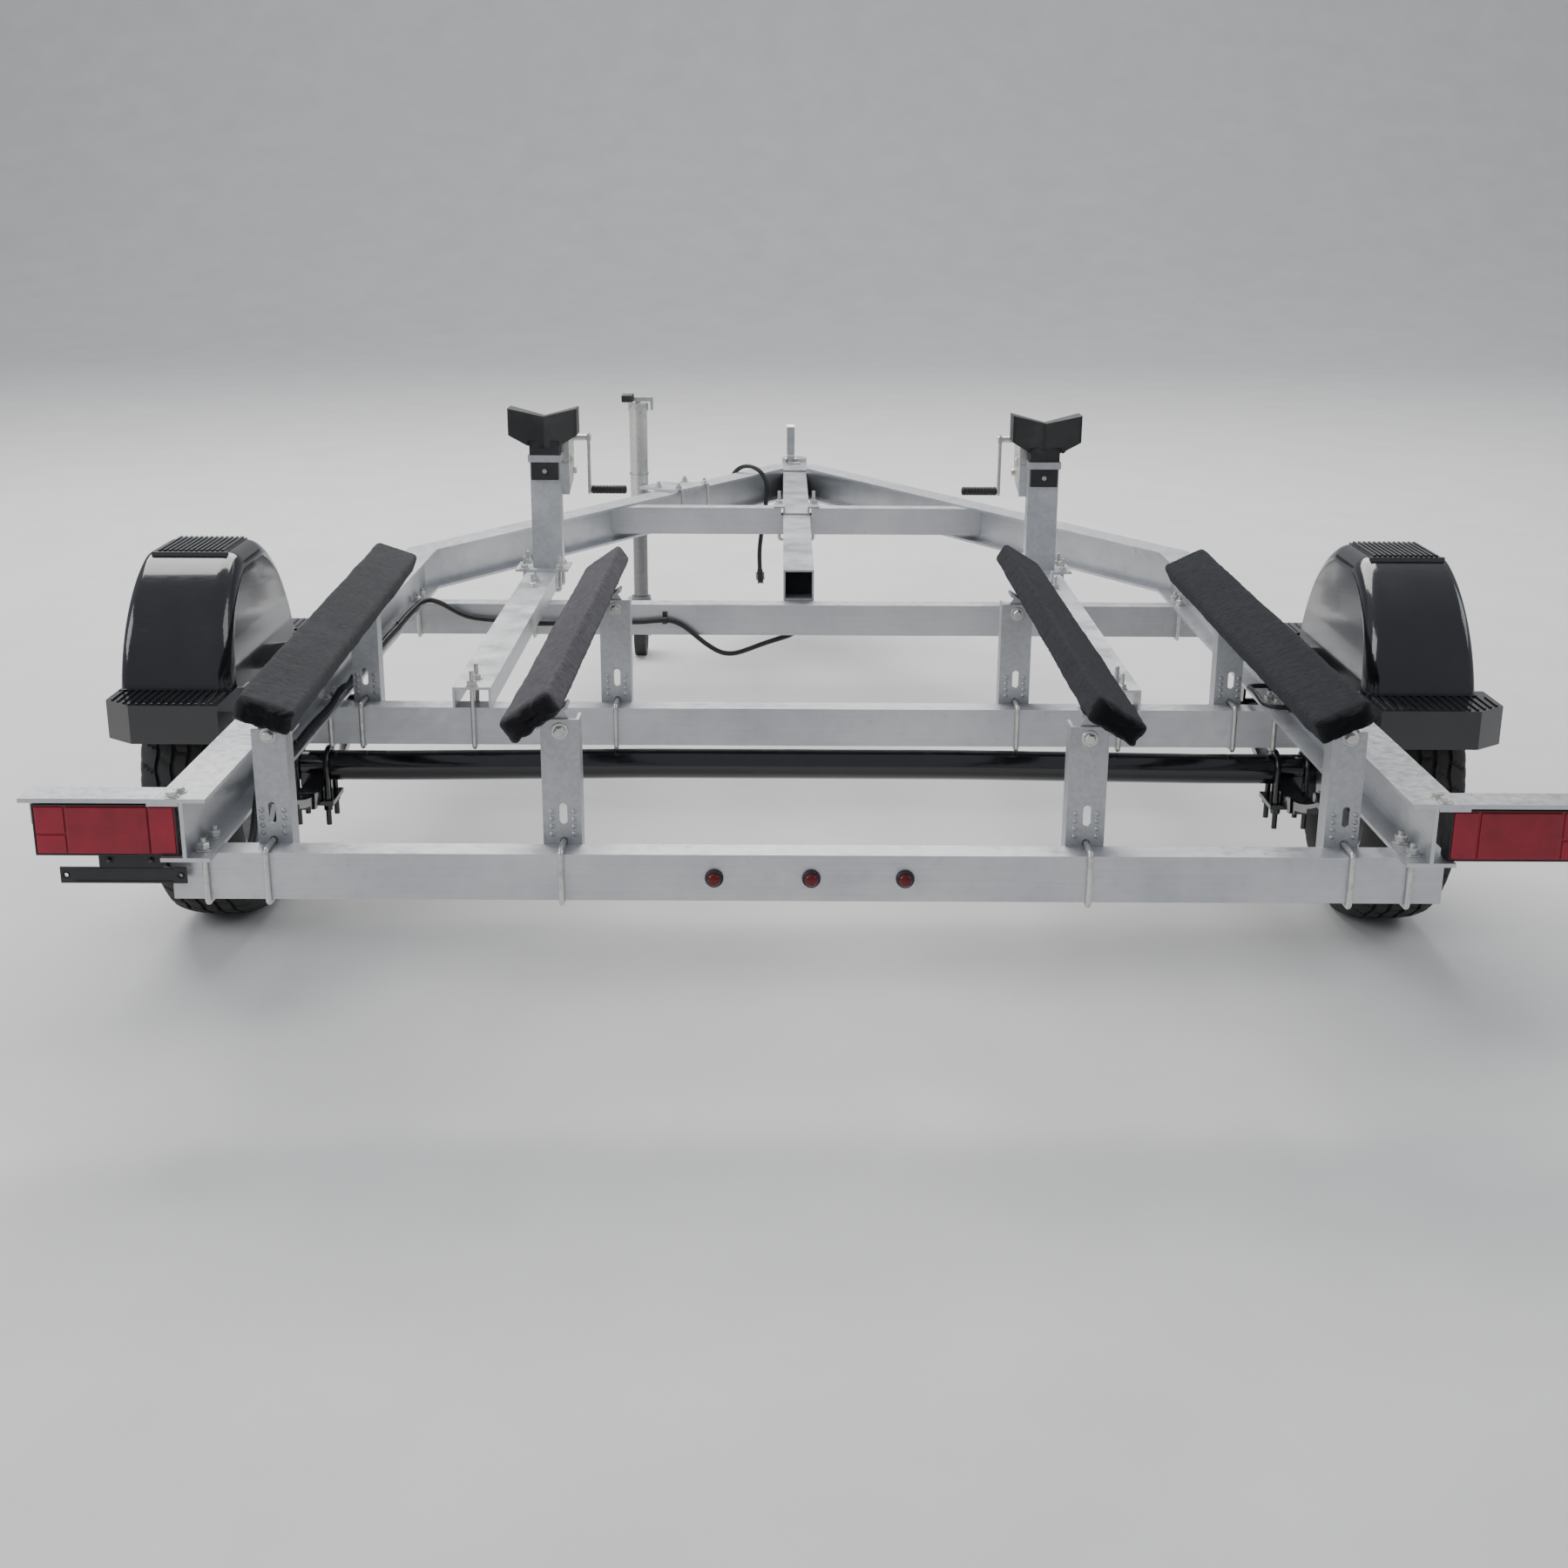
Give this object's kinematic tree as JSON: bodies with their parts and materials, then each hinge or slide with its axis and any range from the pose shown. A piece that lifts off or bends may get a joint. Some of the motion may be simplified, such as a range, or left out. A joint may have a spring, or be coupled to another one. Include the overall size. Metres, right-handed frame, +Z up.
{
  "type": "two-place watercraft trailer",
  "caption": "Two-place watercraft trailer with bent aluminium beams, carpeted bunks, black fenders, leaf-sprung axle, winch posts, lights and a swivel jack",
  "frame": {"origin": "centre of the trailer's footprint on the ground", "axes": "+Y forwards to the coupler, +X to the trailer's right, +Z up"},
  "size_m": [2.522, 3.938, 0.881],
  "materials": {
    "aluminium": "mill-finish extrusion",
    "galvanised": "dull hot-dip galvanised",
    "zinc": "bright zinc plating",
    "black_steel": "black paint",
    "wheel_steel": "silver grey paint",
    "tyre": "matt tyre rubber",
    "fender_plastic": "gloss black moulding",
    "carpet": "looped marine carpet",
    "rubber": "black moulded rubber",
    "red_lens": "clear red lens",
    "black_plastic": "black plastic",
    "wire": "black cable jacket",
    "strap": "woven strap on steel drum"
  },
  "bodies": {
    "frame": {"beam_left": "aluminium", "beam_right": "aluminium", "crossmember_rear": "aluminium", "crossmember_axle": "aluminium", "crossmember_mid": "aluminium", "crossmember_front": "aluminium", "tongue_tube": "galvanised", "tongue_brackets": "galvanised", "coupler": "galvanised", "coupler_latch": "galvanised", "axle": "black_steel", "leaf_springs": "black_steel", "spring_fittings": "black_steel", "fender_left": "fender_plastic", "fender_right": "fender_plastic", "fender_stays": "aluminium", "light_bars": "aluminium", "tail_light_cases": "black_plastic", "tail_light_lenses": "red_lens", "plate_bracket": "black_plastic", "id_lights": "red_lens", "bunk_posts": "galvanised", "bunk_outer_left": "carpet", "bunk_inner_left": "carpet", "bunk_inner_right": "carpet", "bunk_outer_right": "carpet", "u_bolts": "zinc", "winch_rails": "galvanised", "winch_post_left": "galvanised", "winch_post_right": "galvanised", "bow_stop_left": "rubber", "bow_stop_right": "rubber", "winch_frames": "zinc", "jack_mount": "galvanised", "wire_loom": "wire", "wire_loop": "wire", "wire_clips": "black_plastic", "wire_grommets": "rubber", "tow_lead": "wire", "tow_plug": "black_plastic"},
    "wheel_left": {"tyre_left": "tyre", "rim_left": "wheel_steel", "hub_left": "black_steel"},
    "wheel_right": {"tyre_right": "tyre", "rim_right": "wheel_steel", "hub_right": "black_steel"},
    "winch_drum_left": {"winch_drum_left": "strap"},
    "winch_drum_right": {"winch_drum_right": "strap"},
    "winch_crank_left": {"winch_crank_left": "zinc"},
    "winch_crank_right": {"winch_crank_right": "zinc"},
    "jack": {"jack_tube": "galvanised"},
    "jack_leg": {"jack_leg": "galvanised"},
    "jack_caster": {"jack_fork": "galvanised"},
    "jack_wheel": {"jack_wheel": "black_plastic"}
  },
  "joints": [
    {"name": "wheel_left_spin", "type": "hinge", "parent": "frame", "child": "wheel_left", "pos_m": [-1.16, -1.03, 0.3], "axis": [1, 0, 0], "continuous": true},
    {"name": "wheel_right_spin", "type": "hinge", "parent": "frame", "child": "wheel_right", "pos_m": [1.16, -1.03, 0.3], "axis": [1, 0, 0], "continuous": true},
    {"name": "jack_swivel", "type": "hinge", "parent": "frame", "child": "jack", "pos_m": [-0.45013, 1.20574, 0.475], "axis": [-0.8594, 0.5113, 0], "range_deg": [0, 90]},
    {"name": "jack_leg_slide", "type": "slide", "parent": "jack", "child": "jack_leg", "axis": [0, 0, 1], "range_m": [-0.1, 0.19]},
    {"name": "jack_caster_turn", "type": "hinge", "parent": "jack_leg", "child": "jack_caster", "pos_m": [-0.48107, 1.22414, 0.16], "axis": [0, 0, 1], "continuous": true},
    {"name": "jack_wheel_spin", "type": "hinge", "parent": "jack_caster", "child": "jack_wheel", "pos_m": [-0.48107, 1.20014, 0.075], "axis": [1, 0, 0], "continuous": true},
    {"name": "winch_crank_left_turn", "type": "hinge", "parent": "frame", "child": "winch_crank_left", "pos_m": [-0.642, 0.288, 0.79], "axis": [1, 0, 0], "continuous": true},
    {"name": "winch_drum_left_turn", "type": "hinge", "parent": "frame", "child": "winch_drum_left", "pos_m": [-0.642, 0.266, 0.7367], "axis": [1, 0, 0], "continuous": true},
    {"name": "winch_crank_right_turn", "type": "hinge", "parent": "frame", "child": "winch_crank_right", "pos_m": [0.62, 0.288, 0.79], "axis": [1, 0, 0], "continuous": true},
    {"name": "winch_drum_right_turn", "type": "hinge", "parent": "frame", "child": "winch_drum_right", "pos_m": [0.62, 0.266, 0.7367], "axis": [1, 0, 0], "continuous": true}
  ],
  "couplings": [
    {"joint": "winch_drum_left_turn", "follows": "winch_crank_left_turn", "ratio": -0.2711},
    {"joint": "winch_drum_right_turn", "follows": "winch_crank_right_turn", "ratio": -0.2711}
  ]
}
